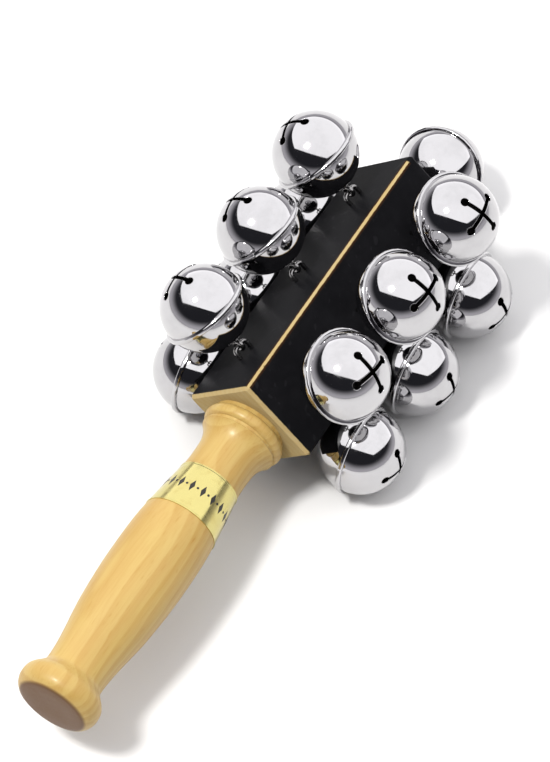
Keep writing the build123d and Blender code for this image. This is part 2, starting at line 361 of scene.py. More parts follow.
def wood_grain_group():
    """Growth rings, fibres and flecks of a pale hardwood that runs along X."""
    if "Wood Grain" in bpy.data.node_groups:
        return bpy.data.node_groups["Wood Grain"]
    inputs = [
        ("Coordinates", "Vector", None),
        ("Light", "Color", (0.8, 0.55, 0.25, 1)),
        ("Dark", "Color", (0.5, 0.26, 0.09, 1)),
        ("Ring Spacing", "Float", 0.0024),
        ("Ring Strength", "Float", 0.5),
    ]
    outputs = [("Color", "Color", None), ("Height", "Float", None), ("Roughness", "Float", None)]
    nodes, given, out = shader_group("Wood Grain", inputs, outputs)
    long_coords = nodes.vector("MULTIPLY", given["Coordinates"], (0.22, 1, 1))
    warp = nodes.add("ShaderNodeTexNoise", {"Vector": long_coords, "Scale": 42.0, "Detail": 2.5})
    centred = nodes.vector("SUBTRACT", warp.outputs["Color"], (0.5, 0.5, 0.5))
    bent = nodes.first("ShaderNodeVectorMath", {0: centred, "Scale": 0.011}, operation="SCALE")
    warped = nodes.vector("ADD", given["Coordinates"], bent)
    across = nodes.vector("MULTIPLY", warped, (0.03, 1, 1))
    from_pith = nodes.vector("LENGTH", across)
    ring_phase = nodes.math("FRACT", nodes.math("DIVIDE", from_pith, given["Ring Spacing"]))
    early = nodes.fade(ring_phase, 0.0, 0.82)
    late = nodes.fade(ring_phase, 1.0, 0.86)
    ring = nodes.times(early, late)
    fibre_coords = nodes.vector("MULTIPLY", given["Coordinates"], (0.035, 1, 1))
    fibre = nodes.noise(fibre_coords, 1500.0, 4.0, 0.65)
    streak = nodes.noise(nodes.vector("MULTIPLY", given["Coordinates"], (0.06, 1, 1)), 240.0, 3.0)
    fleck_noise = nodes.noise(nodes.vector("MULTIPLY", given["Coordinates"], (0.16, 1, 1)), 1100.0, 1.0)
    fleck = nodes.fade(fleck_noise, 0.66, 0.74)
    tone = nodes.times(ring, given["Ring Strength"])
    tone = nodes.plus(tone, nodes.times(nodes.fade(fibre, 0.42, 0.78), 0.28))
    tone = nodes.plus(tone, nodes.times(nodes.fade(streak, 0.35, 0.75), 0.22))
    tone = nodes.plus(tone, nodes.times(fleck, 0.22), clamp=True)
    nodes.link(nodes.mix(tone, given["Light"], given["Dark"]), out["Color"])
    nodes.link(nodes.plus(fibre, nodes.times(fleck, -0.6)), out["Height"])
    nodes.link(nodes.spread(fibre, 0.3, 0.46), out["Roughness"])
    return nodes.tree


def handling_marks_group():
    """Soft smudges for roughness and fine crossing scratches for height, on any finish."""
    if "Handling Marks" in bpy.data.node_groups:
        return bpy.data.node_groups["Handling Marks"]
    inputs = [
        ("Coordinates", "Vector", None),
        ("Smudge Scale", "Float", 160.0),
        ("Scratch Scale", "Float", 420.0),
    ]
    outputs = [("Smudge", "Float", None), ("Scratches", "Float", None)]
    nodes, given, out = shader_group("Handling Marks", inputs, outputs)
    cloud = nodes.noise(given["Coordinates"], given["Smudge Scale"], 4.0, 0.6)
    nodes.link(nodes.fade(cloud, 0.38, 0.72), out["Smudge"])
    scratches = None
    for turn in ((0.3, 0.9, 0.2), (1.3, 0.2, 1.1), (2.1, 1.4, 0.5)):
        turned = nodes.first("ShaderNodeMapping", {"Vector": given["Coordinates"], "Rotation": turn})
        stretched = nodes.vector("MULTIPLY", turned, (0.04, 1, 1))
        line = nodes.fade(nodes.noise(stretched, given["Scratch Scale"], 1.0), 0.7, 0.76)
        scratches = line if scratches is None else nodes.math("MAXIMUM", scratches, line)
    nodes.link(scratches, out["Scratches"])
    return nodes.tree


def new_material(name, **sockets):
    """Material with its own Principled shader; sockets holds the constant values."""
    material = bpy.data.materials.new(name)
    material.use_nodes = True
    material.node_tree.nodes.clear()
    nodes = Nodes(material.node_tree)
    shader = nodes.add("ShaderNodeBsdfPrincipled")
    for key, value in sockets.items():
        shader.inputs[key.replace("_", " ")].default_value = value
    nodes.add("ShaderNodeOutputMaterial", {"Surface": shader.outputs[0]})
    coords = nodes.add("ShaderNodeTexCoord").outputs["Object"]
    material.diffuse_color = sockets.get("Base_Color", (0.8, 0.8, 0.8, 1))
    return material, nodes, shader, coords


def wood_grain(nodes, inputs):
    """Outputs of the wood grain group, placed with these inputs."""
    return nodes.add("ShaderNodeGroup", inputs, node_tree=wood_grain_group()).outputs


def handling_marks(nodes, coords, smudge_scale, scratch_scale=420.0):
    """Outputs of the handling marks group, placed with these scales."""
    inputs = {"Coordinates": coords, "Smudge Scale": smudge_scale, "Scratch Scale": scratch_scale}
    return nodes.add("ShaderNodeGroup", inputs, node_tree=handling_marks_group()).outputs


def bump(nodes, shader, height, strength, distance):
    """Feeds the shader's normal from a height."""
    inputs = {"Height": height, "Strength": strength, "Distance": distance}
    nodes.link(nodes.first("ShaderNodeBump", inputs), shader.inputs["Normal"])


# ---- Materials -----------------------------------------------------------------------------


def turned_wood_material():
    """Pale clear-lacquered hardwood, with growth rings on the flanks and the butt, whose end face is
    darkened partly as end grain and partly as painted shade.
    """
    wood = bpy.context.scene.sleigh_handle.wood
    material, nodes, shader, coords = new_material(
        "turned_wood", Base_Color=rgba(wood), Coat_Weight=0.1, Coat_Roughness=0.2, Specular_IOR_Level=0.2
    )
    pith_turn = (0, math.radians(3.2), math.radians(2.4))
    pith_inputs = {"Vector": coords, "Location": (0, 0.021, 0.012), "Rotation": pith_turn}
    grain_inputs = {
        "Coordinates": nodes.first("ShaderNodeMapping", pith_inputs),
        "Light": tinted(wood, (1.12, 1.16, 1.22)),
        "Dark": tinted(wood, (0.84, 0.68, 0.46)),
        "Ring Spacing": 2.6 * MM,
        "Ring Strength": 0.34,
    }
    grain = wood_grain(nodes, grain_inputs)
    marks = handling_marks(nodes, coords, 70.0)
    colour = nodes.mix(nodes.times(marks["Smudge"], 0.10), grain["Color"], (0.42, 0.2, 0.08, 1))
    along = nodes.add("ShaderNodeSeparateXYZ", {0: coords}).outputs["X"]
    # The butt's end face is darkened: partly darker end grain, partly painted shade.
    end_grain_and_painted_shade = nodes.fade(along, HANDLE_LOW.x + 0.7 * MM, HANDLE_LOW.x + 0.1 * MM)
    colour = nodes.mix(nodes.times(end_grain_and_painted_shade, 0.93), colour, (0.088, 0.03, 0.003, 1))
    nodes.link(colour, shader.inputs["Base Color"])
    rough = nodes.plus(grain["Roughness"], nodes.times(marks["Smudge"], 0.08))
    nodes.link(rough, shader.inputs["Roughness"])
    bump(nodes, shader, grain["Height"], 0.25, 0.05 * MM)
    return material


def bare_wood_masks(nodes, coords, block):
    """Where the block is bare wood, and where it is bare or stained at the rim of its lacquer."""
    axes = nodes.add("ShaderNodeSeparateXYZ", {0: coords}).outputs
    ragged = nodes.times(nodes.minus(nodes.noise(coords, 900.0, 3.0), 0.5), 0.3 * MM)
    height = nodes.plus(nodes.math("ABSOLUTE", nodes.minus(axes["Z"], AXIS_Z)), ragged)
    aside = nodes.math("ABSOLUTE", nodes.plus(axes["Y"], ragged))
    along = nodes.plus(axes["X"], ragged)
    corner = (block.side - block.edge_break) / math.sqrt(2)
    ridge = nodes.fade(aside, 0.52 * MM, 0.42 * MM)
    bare_edge = nodes.times(ridge, nodes.fade(height, corner - 0.12 * MM, corner - 0.02 * MM))
    stained_edge = nodes.fade(height, corner - 0.5 * MM, corner - 0.15 * MM)
    far_wrap = nodes.fade(along, BLOCK_HIGH.x - 2.4 * MM, BLOCK_HIGH.x - 2.9 * MM)
    near_end = nodes.fade(along, BLOCK_LOW.x + 1.15 * MM, BLOCK_LOW.x + 0.85 * MM)
    bare = nodes.math("MAXIMUM", nodes.times(bare_edge, far_wrap), near_end)
    stain = nodes.math("MAXIMUM", nodes.times(stained_edge, far_wrap), near_end)
    return bare, stain


def lacquered_block_material():
    """Black lacquer; bare wood on the upper and the lower long edge and on the near end."""
    block = bpy.context.scene.sleigh_block
    wood = bpy.context.scene.sleigh_handle.wood
    material, nodes, shader, coords = new_material("lacquered_block", Specular_IOR_Level=0.012)
    bare, stain = bare_wood_masks(nodes, coords, block)
    grain_inputs = {
        "Coordinates": nodes.first("ShaderNodeMapping", {"Vector": coords, "Location": (0, -0.03, 0.02)}),
        "Light": tinted(wood, (0.95, 1.08, 1.7)),
        "Dark": tinted(wood, (0.88, 0.9, 1.1)),
        "Ring Spacing": 2.1 * MM,
        "Ring Strength": 0.35,
    }
    grain = wood_grain(nodes, grain_inputs)
    marks = handling_marks(nodes, coords, 90.0)
    faded = rgba([c * 1.5 + 0.002 for c in block.lacquer])
    lacquer = nodes.mix(nodes.times(marks["Smudge"], 0.6), rgba(block.lacquer), faded)
    lacquer = nodes.mix(nodes.times(marks["Scratches"], 0.2), lacquer, (0.03, 0.03, 0.033, 1))
    stained = nodes.mix(stain, lacquer, (0.03, 0.014, 0.007, 1))
    nodes.link(nodes.mix(bare, stained, grain["Color"]), shader.inputs["Base Color"])
    gloss = nodes.spread(marks["Smudge"], 0.36, 0.46)
    rough = nodes.first("ShaderNodeMix", {0: bare, 2: gloss, 3: 0.5}, data_type="FLOAT")
    nodes.link(rough, shader.inputs["Roughness"])
    orange_peel = nodes.noise(coords, 520.0, 2.0)
    surface = nodes.plus(nodes.times(grain["Height"], 0.35), orange_peel)
    surface = nodes.minus(surface, nodes.times(bare, 0.8))
    bump(nodes, shader, surface, 0.3, 0.05 * MM)
    return material


def gold_band_material():
    """Thin polished gold-coloured sheet with fine lines round it and soft dents."""
    gold = bpy.context.scene.sleigh_band.gold
    material, nodes, shader, coords = new_material("gold_sheet", Metallic=1.0)
    brushed = nodes.noise(nodes.vector("MULTIPLY", coords, (1, 0.02, 0.02)), 5200.0, 2.0)
    marks = handling_marks(nodes, coords, 210.0)
    tarnish = nodes.fade(nodes.noise(coords, 260.0, 4.0), 0.5, 0.85)
    colour = nodes.mix(nodes.times(tarnish, 0.5), rgba(gold), (0.42, 0.30, 0.08, 1))
    nodes.link(colour, shader.inputs["Base Color"])
    nodes.link(nodes.spread(marks["Smudge"], 0.15, 0.28), shader.inputs["Roughness"])
    dents = nodes.times(nodes.noise(coords, 130.0, 1.0), 5.0)
    height = nodes.plus(dents, nodes.times(brushed, 0.12))
    bump(nodes, shader, nodes.minus(height, marks["Scratches"]), 0.4, 0.04 * MM)
    return material


def band_print_material():
    """Dark print, worn through to the gold in places."""
    material, nodes, shader, coords = new_material("band_print", Specular_IOR_Level=0.4)
    worn = nodes.fade(nodes.noise(coords, 1400.0, 3.0), 0.55, 0.8)
    colour = nodes.mix(nodes.times(worn, 0.5), (0.012, 0.011, 0.008, 1), (0.16, 0.12, 0.04, 1))
    nodes.link(colour, shader.inputs["Base Color"])
    nodes.link(nodes.spread(worn, 0.3, 0.5), shader.inputs["Roughness"])
    return material


def bright_metal_material(name, tone, polished, dulled, waviness, smudge_scale):
    """Plated or drawn bright metal: smudges, hairlines and the slight waves of pressed sheet.

    The mesh attribute "inside" is 1 on the inner side of a shell, which is rougher as unpolished and
    darker as painted shade.
    """
    material, nodes, shader, coords = new_material(name, Metallic=1.0)
    marks = handling_marks(nodes, coords, smudge_scale, 700.0)
    inside = nodes.add("ShaderNodeAttribute", attribute_name="inside").outputs["Fac"]
    smudged = tinted(tone, (0.82, 0.82, 0.82))
    colour = nodes.mix(nodes.times(marks["Smudge"], 0.5), rgba(tone), smudged)
    # Painted shade: the inner side of a shell gets a dark colour.
    colour = nodes.mix(inside, colour, (0.16, 0.15, 0.14, 1))
    nodes.link(colour, shader.inputs["Base Color"])
    polish = nodes.spread(marks["Smudge"], polished, dulled)
    polish = nodes.plus(polish, nodes.times(marks["Scratches"], 0.05))
    polish = nodes.plus(polish, nodes.times(inside, 0.35))
    nodes.link(polish, shader.inputs["Roughness"])
    waves = nodes.times(nodes.noise(coords, 95.0, 1.0), 3.0)
    height = nodes.minus(waves, nodes.times(marks["Scratches"], 0.02))
    bump(nodes, shader, height, 1.0, waviness)
    return material


def floor_material():
    """Pale matt table with the faintest clouds in its tone."""
    material, nodes, shader, coords = new_material("table_top", Specular_IOR_Level=0.2)
    tone = nodes.spread(nodes.noise(coords, 14.0, 2.0), 0.67, 0.70)
    grey = nodes.first("ShaderNodeCombineColor", {0: tone, 1: tone, 2: tone})
    nodes.link(grey, shader.inputs["Base Color"])
    shader.inputs["Roughness"].default_value = 0.75
    return material


BRIGHT_METALS = {  # tone, roughness where polished and where dulled, depth of waves, smudge scale
    "chrome_shell": ((0.52, 0.515, 0.525), 0.035, 0.1, 0.035 * MM, 130.0),
    # The wire's dark tone is painted shade, for staples and loops that sit in shade under the bells.
    "bright_wire": ((0.27, 0.265, 0.265), 0.16, 0.3, 0.01 * MM, 300.0),
    "pellet_steel": ((0.4, 0.4, 0.41), 0.16, 0.3, 0.01 * MM, 220.0),
}
OTHER_FINISHES = {
    "turned_wood": turned_wood_material,
    "lacquered_block": lacquered_block_material,
    "gold_sheet": gold_band_material,
    "band_print": band_print_material,
    "table_top": floor_material,
}


def material_named(name):
    """The finished material of that name, made the first time it is asked for."""
    if name in bpy.data.materials:
        return bpy.data.materials[name]
    if name in BRIGHT_METALS:
        return bright_metal_material(name, *BRIGHT_METALS[name])
    return OTHER_FINISHES[name]()


# ---- Geometry Nodes trees ------------------------------------------------------------------


def geometry_tree(name, inputs):
    """An empty Geometry Nodes tree; inputs are (name, kind, default)."""
    tree = bpy.data.node_groups.new(name, "GeometryNodeTree")
    tree.interface.new_socket("Geometry", in_out="INPUT", socket_type="NodeSocketGeometry")
    for socket_name, kind, default in inputs:
        socket = tree.interface.new_socket(socket_name, in_out="INPUT", socket_type="NodeSocket" + kind)
        if default is not None:
            socket.default_value = default
    tree.interface.new_socket("Geometry", in_out="OUTPUT", socket_type="NodeSocketGeometry")
    nodes = Nodes(tree)
    return nodes, nodes.add("NodeGroupInput").outputs, nodes.add("NodeGroupOutput").inputs


def evaluated(obj, tree, values, name):
    """Plain mesh that the tree makes from obj with these input values; obj is removed."""
    modifier = obj.modifiers.new(tree.name, "NODES")
    modifier.node_group = tree
    for item in tree.interface.items_tree:
        if item.in_out == "INPUT" and item.name in values:
            modifier[item.identifier] = values[item.name]
    depsgraph = bpy.context.evaluated_depsgraph_get()
    mesh = bpy.data.meshes.new_from_object(obj.evaluated_get(depsgraph))
    mesh.name = name
    obj.modifiers.remove(modifier)
    source = obj.data
    bpy.data.objects.remove(obj)
    bpy.data.meshes.remove(source)
    return mesh


def staple_tree():
    """A bent wire staple on every point, turned by the point's attribute seat_turn."""
    inputs = [
        ("Spread", "Float", 5.4 * MM),
        ("Leg", "Float", 11.2 * MM),
        ("Bend", "Float", 1.3 * MM),
        ("Wire Radius", "Float", 0.7 * MM),
        ("Material", "Material", None),
    ]
    nodes, given, out = geometry_tree("Wire Staples", inputs)
    line = nodes.first("GeometryNodeCurvePrimitiveLine")
    four = nodes.first("GeometryNodeResampleCurve", {"Curve": line, "Count": 4})
    from_middle = nodes.minus(nodes.first("GeometryNodeInputIndex"), 1.5)
    far_side = nodes.minus(nodes.math("GREATER_THAN", from_middle, 0.0), 0.5)
    foot = nodes.math("GREATER_THAN", nodes.math("ABSOLUTE", from_middle), 1.0)
    drop = nodes.times(nodes.times(foot, given["Leg"]), -1.0)
    place = nodes.combine(0.0, nodes.times(far_side, given["Spread"]), drop)
    bent = nodes.first("GeometryNodeSetPosition", {"Geometry": four, "Position": place})
    fillet = {"Curve": bent, "Radius": given["Bend"], "Count": 9, "Limit Radius": True}
    rounded = nodes.first("GeometryNodeFilletCurve", fillet, mode="POLY")
    wire = wire_along(nodes, rounded, given["Wire Radius"], True)
    turn = nodes.first("GeometryNodeInputNamedAttribute", {"Name": "seat_turn"}, data_type="FLOAT_VECTOR")
    finish_tree(nodes, on_points(nodes, given["Geometry"], wire, turn), given["Material"], out)
    return nodes.tree


def wire_along(nodes, curve, radius, caps=False):
    """Round wire of that radius along a curve."""
    ring = nodes.first("GeometryNodeCurvePrimitiveCircle", {"Resolution": 20, "Radius": radius})
    inputs = {"Curve": curve, "Profile Curve": ring, "Fill Caps": caps}
    return nodes.first("GeometryNodeCurveToMesh", inputs)


def on_points(nodes, points, piece, euler):
    """An instance of the piece on every point, turned by the Euler angles."""
    rotation = nodes.first("FunctionNodeEulerToRotation", {0: euler})
    inputs = {"Points": points, "Instance": piece, "Rotation": rotation}
    return nodes.first("GeometryNodeInstanceOnPoints", inputs)


def moved(nodes, geometry, **changes):
    """Geometry after a Translation, Rotation or Scale."""
    return nodes.first("GeometryNodeTransform", {"Geometry": geometry, **changes})


def cylinder(nodes, corners, radius, depth):
    """Upright cylinder or, with few corners, a prism."""
    inputs = {"Vertices": corners, "Radius": radius, "Depth": depth}
    return nodes.first("GeometryNodeMeshCylinder", inputs)


def joined(nodes, pieces):
    """All the pieces as one geometry."""
    join = nodes.add("GeometryNodeJoinGeometry")
    for piece in pieces:
        nodes.link(piece, join.inputs[0])
    return join.outputs[0]


def finish_tree(nodes, geometry, material, out):
    """Ends a tree in real faces that carry the material."""
    realized = nodes.first("GeometryNodeRealizeInstances", {"Geometry": geometry})
    painted = nodes.first("GeometryNodeSetMaterial", {"Geometry": realized, "Material": material})
    nodes.link(painted, out["Geometry"])


def loop_tree():
    """A closed ring round the Y axis with a shoulder, a rivet and the rivet's head above it."""
    inputs = [
        ("Ring Radius", "Float", 1.5 * MM),
        ("Wire Radius", "Float", 0.7 * MM),
        ("Shoulder Radius", "Float", 1.6 * MM),
        ("Shoulder Height", "Float", 0.6 * MM),
        ("Bell Wall", "Float", 0.5 * MM),
        ("Rivet Radius", "Float", 0.7 * MM),
        ("Rivet Length", "Float", 2.0 * MM),
        ("Head Radius", "Float", 2.0 * MM),
        ("Head Height", "Float", 0.5 * MM),
        ("Material", "Material", None),
    ]
    shoulder_gap = 0.02 * MM
    rivet_middle, head_middle = -0.8 * MM, 0.41 * MM  # from the top of the bell's wall
    nodes, given, out = geometry_tree("Bell Loop", inputs)
    path_inputs = {"Resolution": 40, "Radius": given["Ring Radius"]}
    path = nodes.first("GeometryNodeCurvePrimitiveCircle", path_inputs)
    ring = wire_along(nodes, path, given["Wire Radius"])
    pieces = [moved(nodes, ring, Rotation=(math.radians(90), 0, 0))]
    top = nodes.plus(given["Ring Radius"], given["Wire Radius"])
    shoulder_middle = nodes.plus(top, nodes.times(given["Shoulder Height"], 0.5))
    shoulder_height = nodes.minus(given["Shoulder Height"], shoulder_gap)
    wall_top = nodes.plus(nodes.plus(top, given["Shoulder Height"]), given["Bell Wall"])
    stems = (
        (given["Shoulder Radius"], shoulder_height, shoulder_middle),
        (given["Rivet Radius"], given["Rivet Length"], nodes.plus(wall_top, rivet_middle)),
        (given["Head Radius"], given["Head Height"], nodes.plus(wall_top, head_middle)),
    )
    for radius, depth, middle in stems:
        stem = cylinder(nodes, 28, radius, depth)
        pieces.append(moved(nodes, stem, Translation=nodes.combine(0.0, 0.0, middle)))
    finish_tree(nodes, joined(nodes, pieces), given["Material"], out)
    return nodes.tree


def band_print_tree():
    """A ring of flat lozenges and dots just proud of a cone that runs along the local Z axis."""
    inputs = [
        ("Count", "Int", 18),
        ("Radius", "Float", 10.9 * MM),
        ("Slope", "Float", 0.13),
        ("Lozenge Length", "Float", 4.4 * MM),
        ("Lozenge Width", "Float", 1.5 * MM),
        ("Proud", "Float", 0.03 * MM),
        ("Material", "Material", None),
    ]
    nodes, given, out = geometry_tree("Band Print", inputs)
    row = nodes.first("GeometryNodeMeshLine", {"Count": given["Count"]})
    index = nodes.first("GeometryNodeInputIndex")
    angle = nodes.math("DIVIDE", nodes.times(index, 2 * math.pi), given["Count"])
    across = nodes.times(nodes.math("COSINE", angle), given["Radius"])
    aside = nodes.times(nodes.math("SINE", angle), given["Radius"])
    place = nodes.combine(across, aside, 0.0)
    ring = nodes.first("GeometryNodeSetPosition", {"Geometry": row, "Position": place})
    euler = nodes.combine(0.0, nodes.math("ARCTANGENT", given["Slope"]), angle)
    thickness = nodes.times(given["Proud"], 2.0)
    dot_width = nodes.times(given["Lozenge Width"], 0.55)
    motifs = []
    for corners, length, width in (
        (4, given["Lozenge Length"], given["Lozenge Width"]),
        (12, dot_width, dot_width),
    ):
        disc = cylinder(nodes, corners, 0.5, 1.0)
        flat = moved(nodes, disc, Scale=nodes.combine(length, width, thickness))
        facing = moved(nodes, flat, Rotation=(0, math.radians(90), 0))
        motifs.append(on_points(nodes, ring, facing, euler))
    half_step = nodes.combine(0.0, 0.0, nodes.math("DIVIDE", math.pi, given["Count"]))
    motifs[1] = moved(nodes, motifs[1], Rotation=half_step)
    finish_tree(nodes, joined(nodes, motifs), given["Material"], out)
    return nodes.tree


# ---- Shapes --------------------------------------------------------------------------------


def slot_outline(bell, sphere, inset, steps=9):
    """Directions of the crossed slots' outline on a sphere, set back by inset from the walls."""
    half = bell.slot / 2 + inset
    hole = math.asin((bell.slot_hole + inset) / sphere)
    centre = Vector((math.sin(bell.slot_angle), 0, math.cos(bell.slot_angle)))
    away = Vector((math.cos(bell.slot_angle), 0, -math.sin(bell.slot_angle)))
    side = Vector((0, 1, 0))
    meet = math.asin(half / (bell.slot_hole + inset))
    arm = []
    for psi in np.linspace(-(math.pi - meet), math.pi - meet, 25):
        around = away * math.cos(psi) + side * math.sin(psi)
        arm.append(centre * math.cos(hole) + around * math.sin(hole))
    reach = arm[-1].x * sphere
    inner = [half + (reach - half) * k / steps for k in range(steps)]
    edge = [Vector((x, half, math.sqrt(sphere**2 - x**2 - half**2))) / sphere for x in inner]
    arm = [Vector((v.x, -v.y, v.z)) for v in edge[1:]] + arm + list(reversed(edge))
    outline = []
    for quarter in range(4):
        turn = Matrix.Rotation(math.radians(90 * quarter), 3, "Z")
        outline += [turn @ v for v in arm]
    return outline


def inside_polygon(point, polygon):
    """Even-odd test in the plane."""
    x, y = point
    inside = False
    for (x1, y1), (x2, y2) in zip(polygon, polygon[1:] + polygon[:1]):
        if (y1 > y) != (y2 > y) and x < x1 + (y - y1) * (x2 - x1) / (y2 - y1):
            inside = not inside
    return inside


def unrolled(direction):
    """Point of a flat map where the distance from the middle is the angle from the crown."""
    polar = math.acos(max(-1.0, min(1.0, direction.z)))
    flat = math.hypot(direction.x, direction.y)
    return (polar * direction.x / flat, polar * direction.y / flat)


def rolled(point):
    """Direction of a point of the flat map."""
    polar = math.hypot(*point)
    if polar < 1e-9:
        return Vector((0, 0, 1))
    flat = math.sin(polar) / polar
    return Vector((flat * point[0], flat * point[1], math.cos(polar)))


def sheet_points(slot_map, seam_polar, spacing):
    """Points of the flat map between the slots and the seam, in rings about the crown."""
    walls = np.array(slot_map)
    row_step, clearance = 0.87 * spacing, 0.42 * spacing
    points = []
    polar, shift = seam_polar - row_step, 0.5
    while polar > spacing / 2:
        count = max(6, round(2 * math.pi * math.sin(polar) / spacing))
        for k in range(count):
            turn = 2 * math.pi * (k + shift) / count
            point = (polar * math.cos(turn), polar * math.sin(turn))
            clear = np.hypot(*(walls - point).T).min() > clearance
            if clear and not inside_polygon(point, slot_map):
                points.append(point)
        polar, shift = polar - row_step, 0.5 - shift
    return points


def sheet_faces(flat, slots, seams):
    """Triangles between the slots' outline and the seam, the first two loops of the flat map."""
    loops = [(i, (i + 1) % slots) for i in range(slots)]
    loops += [(slots + i, slots + (i + 1) % seams) for i in range(seams)]
    points, _, triangles, sources = delaunay_2d_cdt([Vector(p) for p in flat], loops, [], 0, 1e-7)[:4]
    faces = []
    for triangle in triangles:
        middle = (sum(points[i].x for i in triangle) / 3, sum(points[i].y for i in triangle) / 3)
        if not inside_polygon(middle, flat[:slots]):
            faces.append([sources[i][0] for i in triangle])
    return faces


def outer_cup_mesh(bell, material, around=108):
    """Slotted half shell with rolled slot edges and its lip folded round the inner cup's flange."""
    ball, core = bell.radius, bell.radius - bell.wall
    edge_round = 0.13 * MM
    seam_polar = math.acos(bell.wall / ball)
    spacing = 2 * math.pi / around
    slot_map = [unrolled(v) for v in slot_outline(bell, ball, edge_round)]
    turns = [spacing * k for k in range(around)]
    seam_map = [(seam_polar * math.cos(a), seam_polar * math.sin(a)) for a in turns]
    flat = slot_map + seam_map + sheet_points(slot_map, seam_polar, spacing)
    slots, seams = len(slot_map), len(seam_map)
    sheet = sheet_faces(flat, slots, seams)
    directions = [rolled(p) for p in flat]
    verts = [d * ball for d in directions]
    back = len(verts)
    verts += [v * core for v in slot_outline(bell, core, edge_round)]
    verts += [Vector((d.x, d.y, 0)).normalized() * core for d in directions[slots : slots + seams]]
    verts += [d * core for d in directions[slots + seams :]]
    faces = sheet + [[back + i for i in reversed(face)] for face in sheet]
    kinds = [1] * len(sheet) + [-1] * len(sheet)
    ring = add_rings(verts, faces, range(slots), slot_edge_rings(bell, edge_round))
    faces += ring_faces(ring, range(back, back + slots))
    ring = add_rings(verts, faces, range(slots, slots + seams), seam_rings(bell, turns), flip=True)
    faces += ring_faces(range(back + slots, back + slots + seams), ring)
    kinds += [0] * (len(faces) - len(kinds))
    mesh = mesh_from("outer_cup", verts, faces, [material])
    mark_inside(mesh, back, back + len(flat))
    round_normals(mesh, kinds)
    return mesh


def round_normals(mesh, kinds):
    """Makes the sheet faces shade as a true sphere: kind 1 is outside, -1 inside and 0 left alone."""
    normals = []
    for polygon in mesh.polygons:
        kind = kinds[polygon.index]
        for loop_index in polygon.loop_indices:
            spot = mesh.vertices[mesh.loops[loop_index].vertex_index].co
            normals.append(tuple(spot.normalized() * kind) if kind else (0.0, 0.0, 0.0))
    mesh.normals_split_custom_set(normals)


def slot_edge_rings(bell, edge_round):
    """Outlines of the slots' rolled edge, from the shell's outside through the wall to its inside."""
    steps = [(bell.radius, -edge_round, degrees) for degrees in (30, 60, 90)]
    steps += [(bell.radius - bell.wall, edge_round, degrees) for degrees in (90, 60, 30)]
    rings = []
    for sphere, rise, degrees in steps:
        angle = math.radians(degrees)
        sphere += rise * (1 - math.cos(angle))
        inset = edge_round * (1 - math.sin(angle))
        rings.append([v * sphere for v in slot_outline(bell, sphere, inset)])
    return rings


def seam_rings(bell, turns):
    """Rings of the folded lip, from the shell's outside round the flange to its inside."""
    fillet, crimp_height, crimps = 0.12 * MM, 0.035 * MM, 36
    lip = bell.radius + bell.flange + bell.clearance
    profile = [(bell.radius + fillet, bell.wall)]
    profile += arc((lip, 0), bell.wall, 90, 0, 6)
    profile += arc((lip, -bell.wall), bell.wall, 0, -90, 6)
    folded = len(profile) - 2
    profile += [
        (bell.radius + bell.clearance, -2 * bell.wall),
        (bell.radius + bell.clearance, -bell.wall),
        (lip, -bell.wall),
        (lip, 0),
    ]
    rings = []
    for index, (radius, height) in enumerate(profile):
        wave = crimp_height if 1 < index < folded else 0.0
        radii = [radius + wave * math.sin(crimps * a) for a in turns]
        rings.append([Vector((r * math.cos(a), r * math.sin(a), height)) for r, a in zip(radii, turns)])
    return rings


def mark_inside(mesh, start, end=None):
    """Sets the attribute "inside" to 1 on the vertices from start up to end."""
    marks = np.zeros(len(mesh.vertices), np.float32)
    marks[start:end] = 1.0
    mesh.attributes.new("inside", "FLOAT", "POINT").data.foreach_set("value", marks)


def ring_faces(first, second):
    """Quads between two rings of the same length."""
    count = len(first)
    return [[first[i], first[(i + 1) % count], second[(i + 1) % count], second[i]] for i in range(count)]


def add_rings(verts, faces, ring, point_rings, flip=False):
    """Adds rings of points, each joined to the one before, and gives back the last one."""
    for points in point_rings:
        next_ring = range(len(verts), len(verts) + len(points))
        verts += points
        faces += ring_faces(next_ring, ring) if flip else ring_faces(ring, next_ring)
        ring = next_ring
    return ring


def inner_cup_mesh(bell, material, around=108):
    """Plain half shell with the flange that the outer cup grips and the rivet's hole."""
    ball, core = bell.radius, bell.radius - bell.wall
    hole = 0.72 * MM
    seam = math.degrees(math.asin(bell.wall / ball))
    start = -90 + math.degrees(math.asin(hole / ball))
    flange = bell.radius + bell.flange
    profile = arc((0, 0), ball, start, -seam, 26)
    outside = len(profile)
    profile += [(flange, -bell.wall), (flange, 0)]
    profile += arc((0, 0), core, 0, -90 + math.degrees(math.asin(hole / core)), 26)
    verts, faces = lathe(profile, around, True)
    mesh = mesh_from("inner_cup", verts, faces, [material])
    mark_inside(mesh, (outside + 2) * around)
    return mesh


